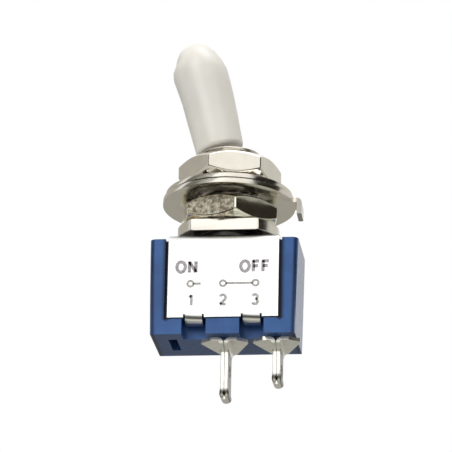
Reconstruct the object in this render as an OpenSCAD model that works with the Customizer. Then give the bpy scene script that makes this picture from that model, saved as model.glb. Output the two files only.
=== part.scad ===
// Subminiature panel toggle switch: a moulded case in a folded steel frame, a threaded bushing
// with two hex nuts and two washers, and a sleeved lever that rocks the moving contact inside.
// Z is the bushing's axis. The origin is on it, at the top face of the back nut, where a panel
// seats. X is the way the lever switches: it stands tilted towards -X, with the switch on.

/* [Case] */
// Length of the case, along X
case_l = 13.0; // [12.8:0.1:15]
// Depth of the case, along Y
case_w = 6.9; // [6.5:0.1:9]
// Height of the case, under the frame's top
case_h = 8.65; // [8.2:0.05:11]
// Thickness of the case's floor
floor_t = 1.85; // [1.8:0.05:2.1]
// Thickness of the case's end walls
end_wall = 1.75; // [1.7:0.05:1.9]
// Thickness of the case's long walls, behind the frame
side_wall = 0.8; // [0.6:0.05:1]
// Rounding of the case's upright edges
case_r = 0.55; // [0.3:0.05:0.8]
// How far each face of the case leans in, from top to bottom
case_draft = 0.18; // [0.05:0.01:0.2]
// Length of a terminal slot, along Y
slot_l = 3.2; // [3:0.1:3.6]
// Chamfer of the case's top edges, inside the frame's bends
case_edge = 0.2; // [0.15:0.01:0.25]
// Width of the groove between a frame leg and the case's corner pillars
leg_groove = 0.26; // [0.1:0.01:0.3]

/* [Frame] */
// Thickness of the frame's steel sheet
sheet_t = 0.4; // [0.3:0.05:0.5]
// Width of a corner pillar beside the frame, along X
pillar_w = 1.65; // [1.5:0.05:2]
// Height of the frame's front and back legs
leg_h = 7.6; // [7.3:0.05:7.8]
// Outer radius of the frame's bends
bend_r = 0.65; // [0.5:0.05:0.8]
// Outer radius of the tabs' bends
tab_bend_r = 0.68; // [0.5:0.01:0.7]
// Width of a bent tab
tab_w = 1.5; // [1.2:0.05:1.8]
// Distance between the two tabs of a leg
tab_pitch = 5.05; // [4.6:0.05:5.6]
// How far a front tab reaches under the case, from the leg's face
tab_reach = 1.5; // [1.3:0.1:2.2]
// How far a back tab reaches into the case, from the leg's face
rear_reach = 0.95; // [0.9:0.05:1.1]
// Height of the lip that closes the back tabs' rooms below
rear_lip = 0.6; // [0.5:0.05:0.7]
// Width of the slit beside each tab, and of its room in the case
tab_slit = 0.32; // [0.2:0.02:0.4]

/* [Bushing] */
// Outer diameter of the thread
thread_d = 6.0; // [5.6:0.05:6.3]
// Height of the bushing above the panel seat
barrel_h = 4.85; // [4.2:0.05:6]
// Diameter of the collar
collar_d = 9.0; // [8.6:0.1:9.8]
// Width of the collar across its two flats
collar_flats = 6.7; // [6.4:0.1:7.4]
// Height of the collar
collar_h = 1.05; // [0.8:0.05:1.5]
// Diameter of the shoulder under the collar
shoulder_d = 6.2; // [6:0.1:6.6]
// Height of the shoulder under the collar
shoulder_h = 0.4; // [0.2:0.05:0.8]
// Diameter of the staked end that holds the frame
stake_d = 5.4; // [5.2:0.05:5.5]
// Height of the stake's flared lip, under the frame's sheet
stake_h = 0.35; // [0.25:0.05:0.5]
// How far the lip flares past the stake
stake_flare = 0.2; // [0.1:0.02:0.2]
// Width of the keyway down the thread
keyway_w = 1.0; // [0.8:0.05:1.2]
// Depth of the keyway
keyway_d = 0.45; // [0.3:0.05:0.5]
// Diameter of the bushing's lower bore
bore_d = 3.9; // [3.85:0.05:4.1]
// Diameter of the mouth at the bushing's top
mouth_d = 4.3; // [4.15:0.05:4.6]
// Chamfer at the thread's free end
thread_chamfer = 0.35; // [0.2:0.05:0.45]

/* [Nuts and washers] */
// Width of the nuts across flats
nut_af = 8.0; // [7.6:0.1:9]
// Thickness of a nut
nut_h = 2.1; // [1.8:0.05:2.4]
// Clear space between the two nuts
nut_space = 1.95; // [1.9:0.05:2.2]
// Angle of the nuts' corner chamfers, from the flat face
nut_chamfer = 33; // [28:1:36]
// Turn of the back nut about the axis
back_nut_turn = 13.5; // [0:0.5:30]
// Turn of the front nut about the axis
front_nut_turn = 12.5; // [0:0.5:30]
// Radius of a nut's flat face, as a share of half its width
nut_face = 0.95; // [0.92:0.01:0.97]
// Outer diameter of the keyed washer
keyed_d = 11.75; // [11.3:0.05:12.2]
// Thickness of the keyed washer
keyed_t = 0.42; // [0.35:0.01:0.5]
// Lean of the two washers, front edge up
washer_lean = 3; // [2:0.5:4]
// Dish of the keyed washer: how far its rim hangs below its hole
keyed_dish = 0.4; // [0.3:0.05:0.45]
// Outer diameter of the toothed lock washer
lock_d = 11.3; // [10.8:0.05:11.7]
// Thickness of the lock washer
lock_t = 0.38; // [0.3:0.01:0.45]
// Width of the lock washer's rim, outside its teeth
lock_rim = 1.3; // [1:0.05:1.5]
// Twist of each tooth of the lock washer
tooth_twist = 10; // [6:1:12]
// Width of the keyed washer's outer tab
key_tab_w = 1.9; // [1.5:0.1:2.2]
// Reach of the keyed washer's tab past its rim
key_tab_out = 0.65; // [0.5:0.05:0.8]
// Drop of the keyed washer's tab below its top face
key_tab_drop = 1.5; // [1.2:0.05:1.6]
// Number of teeth inside the lock washer
lock_teeth = 12; // [10:1:14]
// Share of its pitch that each tooth fills
tooth_share = 0.62; // [0.5:0.02:0.7]

/* [Lever] */
// Height of the lever's pivot above the panel seat
pivot_h = 1.7; // [1.6:0.05:1.8]
// Lean of the lever to each side
lever_tilt = 14; // [11:0.5:14]
// Diameter of the lever's ball
ball_d = 3.78; // [3.7:0.01:3.8]
// Diameter of the lever's neck
neck_d = 2.0; // [1.6:0.05:2.1]
// Diameter of the lever's tail
tail_d = 1.8; // [1.6:0.05:1.85]
// Diameter of the hole in the lever's tail
tail_bore_d = 1.2; // [1.1:0.05:1.25]
// Length of the tail below the pivot
tail_l = 5.0; // [4.8:0.1:5.2]
// Diameter of the two trunnion pins on the ball
trunnion_d = 0.8; // [0.6:0.05:0.9]
// Reach of each trunnion pin past the ball
trunnion_out = 0.45; // [0.35:0.05:0.5]
// Height of the bore's end in the tail, from the pivot
bore_end = -1.0; // [-1.2:0.1:-0.8]
// Length of the plunger's stem in the tail
stem_l = 1.6; // [1.4:0.1:1.8]
// Distance from the pivot to the lever's tip
tip_h = 14.35; // [12:0.05:17]
// Largest diameter of the sleeve on the lever
cap_d = 4.9; // [4.2:0.05:5.2]
// Diameter of the sleeve at its open end
cap_mouth_d = 4.3; // [3.8:0.05:4.4]
// Height of the sleeve's open end above the pivot
cap_start = 3.9; // [3.85:0.05:4.2]
// Wall of the sleeve round the lever's bat
cap_wall = 0.7; // [0.5:0.05:0.9]
// Height of the sleeve's domed tip
dome_h = 3.1; // [2.8:0.1:4]
// How far the sleeve reaches below the lever's bat
cap_skirt = 0.25; // [0.2:0.05:0.4]

/* [Contacts] */
// Distance of an outer terminal's middle from the case's end
term_end = 1.95; // [1.9:0.05:2.1]
// Thickness of one leaf of the folded terminals
leaf_t = 0.32; // [0.28:0.01:0.36]
// Air between the two leaves of a lug
blade_gap = 0.04; // [0.03:0.01:0.1]
// Thickness of a terminal's stem in its slot
stem_t = 0.66; // [0.6:0.02:0.8]
// Width of a terminal's lug, along Y
lug_w = 2.4; // [2.2:0.05:2.6]
// Width of the fold at a lug's rounded tip, along Y
lug_tip_w = 1.0; // [0.8:0.1:1.4]
// Length of the common terminal below the case
common_l = 5.4; // [4.6:0.1:6.5]
// Length of the live terminal below the case
live_l = 4.1; // [3.8:0.1:6.5]
// Diameter of the wire hole through a lug
hole_d = 1.1; // [0.8:0.05:1.2]
// Reach of a terminal's wings to each side, along X
wing_x = 2.05; // [1.7:0.05:2.2]
// Width of a terminal's wings, along Y
wing_w = 4.4; // [3.6:0.1:4.6]
// Distance of a lug's wire hole from the case's underside
hole_drop = 2.5; // [2.3:0.1:2.9]
// Inside radius of the bend between a lug and its wings
wing_bend_r = 0.25; // [0.2:0.05:0.4]
// Width of a terminal's stem in its slot, along Y
stem_w = 3.0; // [2.6:0.1:3.1]
// Height of the rocker's pivot above the case's floor
rocker_pivot_h = 1.2; // [1.15:0.05:1.3]
// Distance of the fold's eye from a lug's tip
eye_up = 0.5; // [0.48:0.02:0.8]
// Radius of the fold's eye
eye_r = 0.08; // [0.06:0.01:0.1]
// Width of the blunt tip of a wing, along Y
wing_tip = 0.3; // [0.2:0.1:0.6]
// How far a wing's tip lies before the lug's middle
wing_fore = 1.3; // [0.8:0.1:1.5]
// Share of a wing's reach that its front edge keeps
wing_full = 0.55; // [0.5:0.05:0.7]
// Height over which a lug widens into its wings
lug_flare = 0.5; // [0.3:0.1:0.7]
// Length of the cradle's base under the rocker
cradle_l = 2.2; // [2:0.1:2.4]
// Length of each cheek of the cradle
cheek_l = 1.8; // [1.6:0.1:1.9]
// Sheet left round the fixed contact
landing_edge = 0.3; // [0.2:0.05:0.4]
// Radius of the knuckle that the rocker turns on
knuckle_r = 0.42; // [0.35:0.01:0.45]
// Lean of the rocker to each side
rocker_tilt = 7; // [6:0.5:7]
// Thickness of the rocker's strip
rocker_t = 0.4; // [0.3:0.05:0.5]
// Width of the rocker's strip
rocker_w = 2.4; // [2:0.1:2.6]
// Diameter of the silver contacts
contact_d = 1.3; // [1.1:0.05:1.4]
// Thickness of a silver contact
contact_t = 0.35; // [0.3:0.05:0.4]
// Diameter of the wire of the plunger's spring
spring_wire = 0.16; // [0.12:0.01:0.18]
// Number of turns of the spring
spring_turns = 7; // [5:1:8]

/* [Fits] */
// Running clearance of the lever's ball in its seat, on the radius
run_fit = 0.05; // [0.03:0.01:0.08]
// Clearance of the nuts' and washers' holes round the thread, on the radius
thread_fit = 0.06; // [0.04:0.01:0.1]
// Clearance of the washers' holes round the thread, on the radius
washer_fit = 0.14; // [0.1:0.01:0.18]
// Clearance of pieces laid into the case, and of the sleeve on the lever
lay_fit = 0.05; // [0.03:0.01:0.08]
// Air left between the back nut and the leaned keyed washer
washer_seat = 0.13; // [0.1:0.01:0.15]
// Air left between the back nut and the collar
nut_seat = 0.05; // [0.03:0.01:0.1]
// Air left between loose pieces that rest on each other
rest_gap = 0.03; // [0.02:0.01:0.05]

/* [Hidden] */
$fn = 96;
eps = 0.01;
// How far joined solids run into each other, and how far cutters reach past a face
weld = 0.1;
over = 1;

// Heights along the bushing's axis, from the panel seat down
collar_top = -nut_h - nut_seat;
shoulder_top = collar_top - collar_h;
frame_top = shoulder_top - shoulder_h;
case_top = frame_top - sheet_t;
case_bottom = case_top - case_h;
floor_top = case_bottom + floor_t;
leg_bottom = frame_top - leg_h;
tab_bottom = leg_bottom - sheet_t;
bend_top = tab_bottom + tab_bend_r;
bushing_bottom = case_top - stake_h;

// Plan sizes of the case, the frame and the terminals
frame_l = case_l - 2 * pillar_w;
term_pitch = case_l / 2 - term_end;
leg_face = case_w / 2;
leg_back = leg_face - sheet_t;
waist_y = leg_back - lay_fit;
cavity_x = case_l / 2 - end_wall;
cavity_y = waist_y - side_wall;
pocket_w = tab_w + 2 * tab_slit;

// The lever's ball seat and the throat above it
ball_r = ball_d / 2;
seat_r = ball_r + run_fit;
neck_reach = neck_d / 2 / cos(lever_tilt) + 2 * run_fit;
lean = tan(lever_tilt);
throat_h = (-neck_reach * lean + sqrt(seat_r * seat_r * (1 + lean * lean) - neck_reach * neck_reach))
    / (1 + lean * lean);
throat_r = sqrt(seat_r * seat_r - throat_h * throat_h);
trunnion_l = ball_r + trunnion_out;
lip_r = stake_d / 2 + stake_flare;
tail_room = tail_l * sin(lever_tilt) + tail_d / 2 * cos(lever_tilt) + 2 * run_fit;

// The bat inside the sleeve, and the plunger's stem inside the tail
bat_start = cap_start + cap_skirt;
bat_tip = tip_h - cap_wall;
stem_top = -tail_l + stem_l;

// Places of the washers between the nuts, at the axis
nut_face_r = nut_af / 2 * nut_face;
washer_hole_r = thread_d / 2 + washer_fit;
keyed_slope = keyed_dish / (keyed_d / 2 - washer_hole_r);
keyed_z = nut_face_r * tan(washer_lean) + keyed_slope * (nut_face_r - washer_hole_r) + washer_seat;
rim_in = lock_d / 2 - lock_rim;
tooth_w = 2 * rim_in * sin(180 / lock_teeth) * tooth_share;
tooth_rise = tooth_w / 2 * sin(tooth_twist);
lock_z = keyed_z + keyed_t + tooth_rise + rest_gap;

// The rocker: its pivot, and the arc that the plunger's nose runs along
rocker_z = floor_top + rocker_pivot_h;
nose_r = tail_bore_d / 2 - run_fit;
strip_low = knuckle_r / 2;
strip_top = strip_low + rocker_t;
nose_l = pivot_h - rocker_z - strip_top - nose_r - run_fit;
nose_x = nose_l * sin(lever_tilt);
nose_z = pivot_h - nose_l * cos(lever_tilt) - rocker_z;
path_x = nose_x * cos(rocker_tilt) - nose_z * sin(rocker_tilt);
path_z = nose_x * sin(rocker_tilt) + nose_z * cos(rocker_tilt) - (strip_top + nose_r + run_fit);
path_r = (path_x * path_x + path_z * path_z) / (2 * path_z);
arc_r = path_r + nose_r + run_fit;
arc_x = path_x + nose_r;
pad_x = arc_x + lay_fit + contact_d / 2;
pad_l = cavity_x - arc_x - 4 * lay_fit;
pad_low = strip_top + arc_r - sqrt(pow(arc_r + rocker_t, 2) - arc_x * arc_x);
pad_face = pad_low + (pad_x - arc_x) * tan(rocker_tilt);
// The same point with the rocker leaning onto it
contact_x = pad_x * cos(rocker_tilt) + pad_face * sin(rocker_tilt);
contact_z = rocker_z - pad_x * sin(rocker_tilt) + pad_face * cos(rocker_tilt);
fixed_face = contact_z - contact_t - rest_gap;
land_top = fixed_face - contact_t;

// The folded terminals
blade_t = 2 * leaf_t + blade_gap;
wing_drop = leaf_t + wing_bend_r;
cheek_y = rocker_w / 2 + lay_fit;
knuckle_l = 2 * (cheek_y + leaf_t + weld);

// A box given by its corners
module block(low, high) translate(low) cube(high - low);

// An outline in the XZ plane, made `depth` thick along Y about the middle
module slab_y(depth) rotate([90, 0, 0]) linear_extrude(depth, center = true) children();

// An outline in the YZ plane, made `depth` thick along X about the middle
module slab_x(depth) rotate([90, 0, 90]) linear_extrude(depth, center = true) children();

// The space of the leaned lever, with its axis along Z and its pivot at the origin
module lever_frame() translate([0, 0, pivot_h]) rotate([0, -lever_tilt, 0]) children();

// The space of the leaned rocker, with its pivot at the origin
module rocker_frame() translate([0, 0, rocker_z]) rotate([0, rocker_tilt, 0]) children();

// The case's outer form: upright edges rounded, and all four faces leaning in
module case_form() intersection() {
    translate([0, 0, case_bottom]) linear_extrude(case_h) rounded_plan(case_l, case_w, case_r);
    slab_y(case_w + over) leaning_face(case_l / 2);
    slab_x(case_l + over) leaning_face(case_w / 2);
}

module rounded_plan(l, w, r) {
    square([l - 2 * r, w], center = true);
    square([l, w - 2 * r], center = true);
    for (x = [-1, 1], y = [-1, 1]) translate([x * (l / 2 - r), y * (w / 2 - r)]) circle(r);
}

module leaning_face(half) polygon([[-half, case_top], [half, case_top],
    [half - case_draft, case_bottom], [-half + case_draft, case_bottom]]);

// Room for one leg of the frame, with the chamfer that clears its bend
module leg_recess() slab_x(frame_l + 2 * leg_groove) polygon([[case_w, leg_bottom - lay_fit],
    [waist_y, leg_bottom - lay_fit], [waist_y, case_top - case_edge], [waist_y - case_edge, case_top],
    [waist_y - case_edge, case_top + over], [case_w, case_top + over]]);

// Room for one bent tab of the given reach, down to the height `low`
module tab_pocket(reach, low) block([-pocket_w / 2, leg_face - reach - tab_slit, low],
    [pocket_w / 2, case_w, bend_top + lay_fit]);

module case() color("royalblue") {
    slot_half = stem_t / 2 + lay_fit;
    difference() {
        case_form();
        block([-cavity_x, -cavity_y, floor_top], [cavity_x, cavity_y, case_top + over]);
        // Room for the contacts, between the end walls
        block([-contact_x - contact_d / 2 - lay_fit, -contact_d / 2 - lay_fit, floor_top],
            [contact_x + contact_d / 2 + lay_fit, contact_d / 2 + lay_fit, case_top]);
        // Notches in the long walls that clear the bushing's staked lip
        block([-lip_r - lay_fit, -waist_y - lay_fit, bushing_bottom - lay_fit],
            [lip_r + lay_fit, waist_y + lay_fit, case_top + over]);
        for (side = [0, 180]) rotate(side) {
            leg_recess();
            for (x = [-1, 1]) translate([x * tab_pitch / 2, 0, 0])
                if (side == 0) tab_pocket(rear_reach, case_bottom + rear_lip);
                else tab_pocket(tab_reach, case_bottom - over);
        }
        for (i = [-1, 0, 1]) translate([i * term_pitch, 0, 0])
            block([-slot_half, -slot_l / 2, case_bottom - over],
                [slot_half, slot_l / 2, land_top + lay_fit]);
    }
    // Stop under the rocker's idle arm
    block([-contact_x - contact_d / 2, -contact_d / 2, floor_top - eps],
        [-contact_x + contact_d / 2, contact_d / 2, contact_z - lay_fit]);
}

// Half of the frame's section: the top sheet, one bend and one leg
module frame_section() {
    arc = [leg_face - bend_r, frame_top - bend_r];
    translate([0, frame_top - sheet_t]) square([arc.x, sheet_t]);
    translate([leg_back, leg_bottom]) square([sheet_t, arc.y - leg_bottom]);
    translate(arc) bend_section(bend_r);
}

// A quarter of a sheet's bend, of outer radius r
module bend_section(r) intersection() {
    difference() {
        circle(r);
        circle(r - sheet_t);
    }
    square(r);
}

// A tab's section: a short bend below the leg, then a foot of the given reach
module tab_section(reach) {
    arc = [leg_face - tab_bend_r, tab_bottom + tab_bend_r];
    translate(arc) mirror([0, 1]) bend_section(tab_bend_r);
    translate([leg_back, arc.y - eps]) square([sheet_t, eps * 2]);
    translate([leg_face - reach, tab_bottom]) square([reach - tab_bend_r, sheet_t]);
}

module frame() color("gainsboro") difference() {
    for (side = [0, 180]) rotate(side) {
        difference() {
            slab_x(frame_l) frame_section();
            for (x = [-1, 1]) translate([x * tab_pitch / 2, leg_face, 0])
                block([-tab_w / 2 - tab_slit / 2, -bend_r, leg_bottom - over],
                    [tab_w / 2 + tab_slit / 2, over, bend_top]);
        }
        for (x = [-1, 1]) translate([x * tab_pitch / 2, 0, 0])
            slab_x(tab_w) tab_section(side == 0 ? rear_reach : tab_reach);
    }
    translate([0, 0, case_top - over]) cylinder(h = sheet_t + 2 * over, d = stake_d + 2 * lay_fit);
}

module bushing() color("silver") difference() {
    union() {
        rotate_extrude() polygon([[0, bushing_bottom], [lip_r, bushing_bottom],
            [stake_d / 2, case_top], [stake_d / 2, frame_top], [shoulder_d / 2, frame_top],
            [shoulder_d / 2, collar_top], [thread_d / 2, collar_top],
            [thread_d / 2, barrel_h - thread_chamfer], [thread_d / 2 - thread_chamfer, barrel_h],
            [0, barrel_h]]);
        intersection() {
            translate([0, 0, shoulder_top]) cylinder(h = collar_h, d = collar_d);
            cube([collar_d + over, collar_flats, 4 * case_h], center = true);
        }
    }
    translate([0, 0, pivot_h]) sphere(seat_r);
    translate([0, 0, pivot_h + throat_h])
        cylinder(h = barrel_h - pivot_h - throat_h + eps, r1 = throat_r, r2 = mouth_d / 2);
    translate([0, 0, bushing_bottom - over]) cylinder(h = pivot_h - bushing_bottom + over, d = bore_d);
    translate([0, 0, bushing_bottom - over])
        cylinder(h = collar_top - bushing_bottom + over, r = tail_room);
    // Grooves that the lever's trunnions are pushed up
    translate([0, 0, pivot_h]) rotate([90, 0, 0])
        cylinder(h = 2 * (trunnion_l + run_fit), d = trunnion_d + 2 * run_fit, center = true);
    block([-trunnion_d / 2 - run_fit, -trunnion_l - run_fit, bushing_bottom - over],
        [trunnion_d / 2 + run_fit, trunnion_l + run_fit, pivot_h]);
    // Keyway for the washer's tongue
    block([thread_d / 2 - keyway_d, -keyway_w / 2, collar_top], [thread_d, keyway_w / 2, barrel_h + over]);
}

// A dome's outline from its widest point to its tip, as radius and height
function dome(r, top, height, steps = 16) =
    [for (i = [0 : steps]) [r * cos(90 * i / steps), top - height + height * sin(90 * i / steps)]];

module lever() color("silver") lever_frame() {
    difference() {
        union() {
            sphere(ball_r);
            cylinder(h = bat_start + eps, d = neck_d);
            rotate_extrude() polygon(concat([[0, bat_start], [cap_mouth_d / 2 - cap_wall, bat_start]],
                dome(cap_d / 2 - cap_wall, bat_tip, dome_h)));
            translate([0, 0, -tail_l]) cylinder(h = tail_l, d = tail_d);
            rotate([90, 0, 0]) cylinder(h = 2 * trunnion_l, d = trunnion_d, center = true);
        }
        translate([0, 0, -tail_l - over]) cylinder(h = tail_l + bore_end + over, d = tail_bore_d);
    }
}

module lever_cap() color("ivory") lever_frame() difference() {
    rotate_extrude() polygon(concat([[0, cap_start], [cap_mouth_d / 2, cap_start]],
        dome(cap_d / 2, tip_h, dome_h)));
    hollow = lay_fit - cap_wall;
    rotate_extrude() polygon(concat([[0, cap_start - over], [cap_mouth_d / 2 + hollow, cap_start - over],
        [cap_mouth_d / 2 + hollow, bat_start]], dome(cap_d / 2 + hollow, bat_tip + lay_fit, dome_h)));
}

// A nylon pin that the spring holds against the rocker
module plunger() color("white") lever_frame() translate([0, 0, -nose_l]) {
    sphere(nose_r);
    cylinder(h = stem_top + nose_l, r = nose_r);
}

// A coil's centre line: turns on a cylinder, with the wire's section as rings
module coil(r, wire, height, turns, sides = 8, per_turn = 16) {
    count = turns * per_turn;
    points = [for (i = [0 : count], k = [0 : sides - 1])
        let (a = 360 * i / per_turn, b = 360 * k / sides, s = r + wire / 2 * cos(b))
        [s * cos(a), s * sin(a), height * i / count + wire / 2 * sin(b)]];
    walls = [for (i = [0 : count - 1], k = [0 : sides - 1])
        let (n = (k + 1) % sides)
        [i * sides + k, i * sides + n, (i + 1) * sides + n, (i + 1) * sides + k]];
    polyhedron(points, concat(walls, [[for (k = [sides - 1 : -1 : 0]) k]],
        [[for (k = [0 : sides - 1]) count * sides + k]]));
}

module plunger_spring() color("darkgray") lever_frame() {
    inset = spring_wire / 2 + rest_gap;
    translate([0, 0, stem_top + inset]) coil(tail_bore_d / 2 - spring_wire / 2 - 2 * run_fit, spring_wire,
        bore_end - stem_top - 2 * inset, spring_turns);
}

// The rocker's section: a dished middle that the plunger runs across, and two end pads
module rocker_section() {
    intersection() {
        translate([0, strip_top + arc_r]) difference() {
            circle(arc_r + rocker_t);
            circle(arc_r);
        }
        translate([-arc_x, 0]) square([2 * arc_x, arc_r]);
    }
    for (side = [0, 1]) mirror([side, 0]) translate([arc_x - weld, pad_low]) rotate(rocker_tilt)
        square([pad_l, rocker_t]);
}

module rocker() color("goldenrod") rocker_frame() {
    slab_y(rocker_w) rocker_section();
    rotate([90, 0, 0]) cylinder(h = knuckle_l, r = knuckle_r, center = true);
}

module moving_contact() color("lightgray") rocker_frame() translate([pad_x, 0, pad_face])
    rotate([0, -rocker_tilt, 0]) translate([0, 0, -contact_t]) cylinder(h = contact_t, d = contact_d);

module fixed_contact() color("lightgray") translate([contact_x, 0, land_top])
    cylinder(h = contact_t, d = contact_d);

// The outline of a lug and its wings seen along Y: two leaves folded at the tip
module fold_section(length) {
    leaf_x = blade_gap / 2 + leaf_t;
    difference() {
        union() {
            translate([-leaf_x, -length + blade_t / 2])
                square([2 * leaf_x, length - blade_t / 2 - wing_drop]);
            translate([0, -length + blade_t / 2]) circle(blade_t / 2);
        }
        translate([0, -length + eye_up]) circle(eye_r);
        translate([-blade_gap / 2, -length + eye_up]) square([blade_gap, length]);
    }
    for (side = [0, 1]) mirror([side, 0]) {
        translate([leaf_x + wing_bend_r, -wing_drop]) intersection() {
            difference() {
                circle(wing_drop);
                circle(wing_bend_r);
            }
            translate([-wing_drop, -eps]) square(wing_drop + eps);
        }
        translate([leaf_x + wing_bend_r - eps, -leaf_t])
            square([wing_x - leaf_x - wing_bend_r + eps, leaf_t]);
    }
}

// The wings seen from below: a leaf with a straight front edge, and tips before its middle
module wing_plan() for (side = [0, 1]) mirror([side, 0]) polygon([[-eps, -wing_w / 2],
    [wing_x * wing_full, -wing_w / 2], [wing_x, -wing_fore - wing_tip / 2],
    [wing_x, -wing_fore + wing_tip / 2], [blade_t, wing_w / 2], [-eps, wing_w / 2]]);

// A lug's lower end seen along X, as points from its left side to its right
function lug_end(length, steps = 8) = let (r = (lug_w - lug_tip_w) / 2)
    [for (i = [0 : 2 * steps + 1]) let (a = i <= steps ? i : i - 1, b = 90 + 90 * a / steps)
        [(i <= steps ? -1 : 1) * lug_tip_w / 2 + r * cos(b + 90), -length + r - r * sin(b)]];

// A lug of the given length with its wings, hanging from the case's underside
module folded_lug(length) difference() {
    flare = wing_drop + lug_flare;
    half = wing_w / 2;
    tongue = lug_w / 3;
    union() {
        block([-blade_t / 2, -tongue, -wing_drop - eps], [blade_t / 2, tongue, 0]);
        intersection() {
            slab_y(wing_w) fold_section(length);
            slab_x(2 * wing_x) polygon(concat([[half, -flare / 2], [half, over], [-half, over],
                [-half, -flare / 2], [-lug_w / 2, -flare]], lug_end(length)));
            linear_extrude(3 * length, center = true) wing_plan();
        }
    }
    translate([0, 0, -hole_drop]) rotate([0, 90, 0]) cylinder(h = 2 * wing_x, d = hole_d, center = true);
}

// The common terminal: its lug, a stem through the floor and a cradle for the rocker's knuckle
module common_terminal() color("lightgray") {
    cheek_out = cheek_y + leaf_t;
    translate([0, 0, case_bottom]) folded_lug(common_l);
    block([-stem_t / 2, -stem_w / 2, case_bottom - eps], [stem_t / 2, stem_w / 2, floor_top + eps]);
    block([-cradle_l / 2, -cheek_out, floor_top], [cradle_l / 2, cheek_out, floor_top + leaf_t]);
    for (side = [0, 1]) mirror([0, side, 0]) difference() {
        block([-cheek_l / 2, cheek_y, floor_top], [cheek_l / 2, cheek_out, rocker_z]);
        translate([0, 0, rocker_z]) rotate([90, 0, 0])
            cylinder(h = 2 * case_w, r = knuckle_r + run_fit, center = true);
    }
}

// The live terminal: its lug, a stem up the end wall and a landing for the fixed contact
module live_terminal() color("lightgray") {
    landing_w = contact_d + 2 * landing_edge;
    translate([term_pitch, 0, case_bottom]) {
        folded_lug(live_l);
        block([-stem_t / 2, -stem_w / 2, -eps], [stem_t / 2, stem_w / 2, land_top - case_bottom]);
    }
    block([contact_x - contact_d / 2, -landing_w / 2, land_top - leaf_t],
        [term_pitch, landing_w / 2, land_top]);
}

// A hex nut with both faces chamfered at its corners
module hex_nut() {
    corner_r = nut_af / 2 / cos(30);
    cut = (corner_r - nut_face_r) * tan(nut_chamfer);
    difference() {
        intersection() {
            cylinder(h = nut_h, r = corner_r, $fn = 6);
            rotate_extrude() polygon([[0, 0], [nut_face_r, 0], [corner_r, cut], [corner_r, nut_h - cut],
                [nut_face_r, nut_h], [0, nut_h]]);
        }
        translate([0, 0, -over]) cylinder(h = nut_h + 2 * over, r = thread_d / 2 + thread_fit);
    }
}

module back_nut() color("silver") translate([0, 0, -nut_h]) rotate(-30 + back_nut_turn) hex_nut();

module front_nut() color("silver") translate([0, 0, nut_space]) rotate(front_nut_turn) hex_nut();

// A dished washer with a tongue for the keyway and a tab bent down at its rim
module keyed_washer() color("silver") translate([0, 0, keyed_z]) rotate([-washer_lean, 0, 0]) {
    rim_r = keyed_d / 2;
    tab_x = rim_r + key_tab_out;
    tab_top = keyed_t - keyed_dish;
    rotate_extrude() polygon([[washer_hole_r, 0], [rim_r, -keyed_dish], [rim_r, tab_top],
        [washer_hole_r, keyed_t]]);
    block([thread_d / 2 - keyway_d + 2 * thread_fit, -keyway_w / 2 + 2 * thread_fit, 0],
        [washer_hole_r + 2 * weld, keyway_w / 2 - 2 * thread_fit, keyed_t - lay_fit]);
    block([rim_r - weld, -key_tab_w / 2, tab_top - keyed_t], [tab_x - keyed_t, key_tab_w / 2, tab_top]);
    slab_y(key_tab_w) translate([tab_x - keyed_t, tab_top - keyed_t]) intersection() {
        circle(keyed_t);
        square(keyed_t);
    }
    block([tab_x - keyed_t, -key_tab_w / 2, tab_top - key_tab_drop],
        [tab_x, key_tab_w / 2, tab_top - keyed_t + eps]);
}

// A lock washer dished like the keyed one, with twisted teeth round its hole
module lock_washer() color("silver") translate([0, 0, lock_z]) rotate([-washer_lean, 0, 0]) {
    in_drop = keyed_slope * (rim_in - washer_hole_r);
    out_drop = keyed_slope * (lock_d / 2 - washer_hole_r);
    rotate_extrude() polygon([[rim_in, -in_drop], [lock_d / 2, -out_drop],
        [lock_d / 2, lock_t - out_drop], [rim_in, lock_t - in_drop]]);
    for (i = [0 : lock_teeth - 1]) rotate(360 * (i + 0.5) / lock_teeth)
        translate([washer_hole_r, 0, lock_t / 2]) rotate([0, atan(keyed_slope), 0])
            rotate([tooth_twist, 0, 0]) translate([0, -tooth_w / 2, -lock_t / 2])
                cube([rim_in - washer_hole_r + weld, tooth_w, lock_t]);
}

case();
frame();
bushing();
lever();
lever_cap();
plunger();
plunger_spring();
rocker();
moving_contact();
fixed_contact();
common_terminal();
live_terminal();
back_nut();
keyed_washer();
lock_washer();
front_nut();
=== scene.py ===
"""Dresses a packed subminiature panel toggle switch: finishes, a cut thread, a sleeve and a legend."""

import logging
import math
from dataclasses import dataclass, field
from enum import Enum
from typing import Callable

import bmesh
import bpy
from mathutils import Matrix, Vector


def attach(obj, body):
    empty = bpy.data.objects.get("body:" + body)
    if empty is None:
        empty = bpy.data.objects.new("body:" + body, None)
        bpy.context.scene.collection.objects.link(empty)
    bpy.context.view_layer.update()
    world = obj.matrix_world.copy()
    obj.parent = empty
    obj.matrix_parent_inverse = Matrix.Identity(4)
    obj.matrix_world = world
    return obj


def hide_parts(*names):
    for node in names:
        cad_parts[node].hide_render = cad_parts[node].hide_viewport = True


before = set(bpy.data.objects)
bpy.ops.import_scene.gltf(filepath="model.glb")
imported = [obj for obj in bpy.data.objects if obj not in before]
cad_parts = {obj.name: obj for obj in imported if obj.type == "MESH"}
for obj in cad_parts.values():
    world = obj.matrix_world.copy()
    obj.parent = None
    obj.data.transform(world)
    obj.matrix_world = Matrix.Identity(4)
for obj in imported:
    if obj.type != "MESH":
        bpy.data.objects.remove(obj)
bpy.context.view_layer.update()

log = logging.getLogger("toggle_switch")
MM = 0.001
Colour = tuple[float, float, float]
Outline = list[tuple[float, float]]


# ---------------------------------------------------------------- mesh helpers


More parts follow.
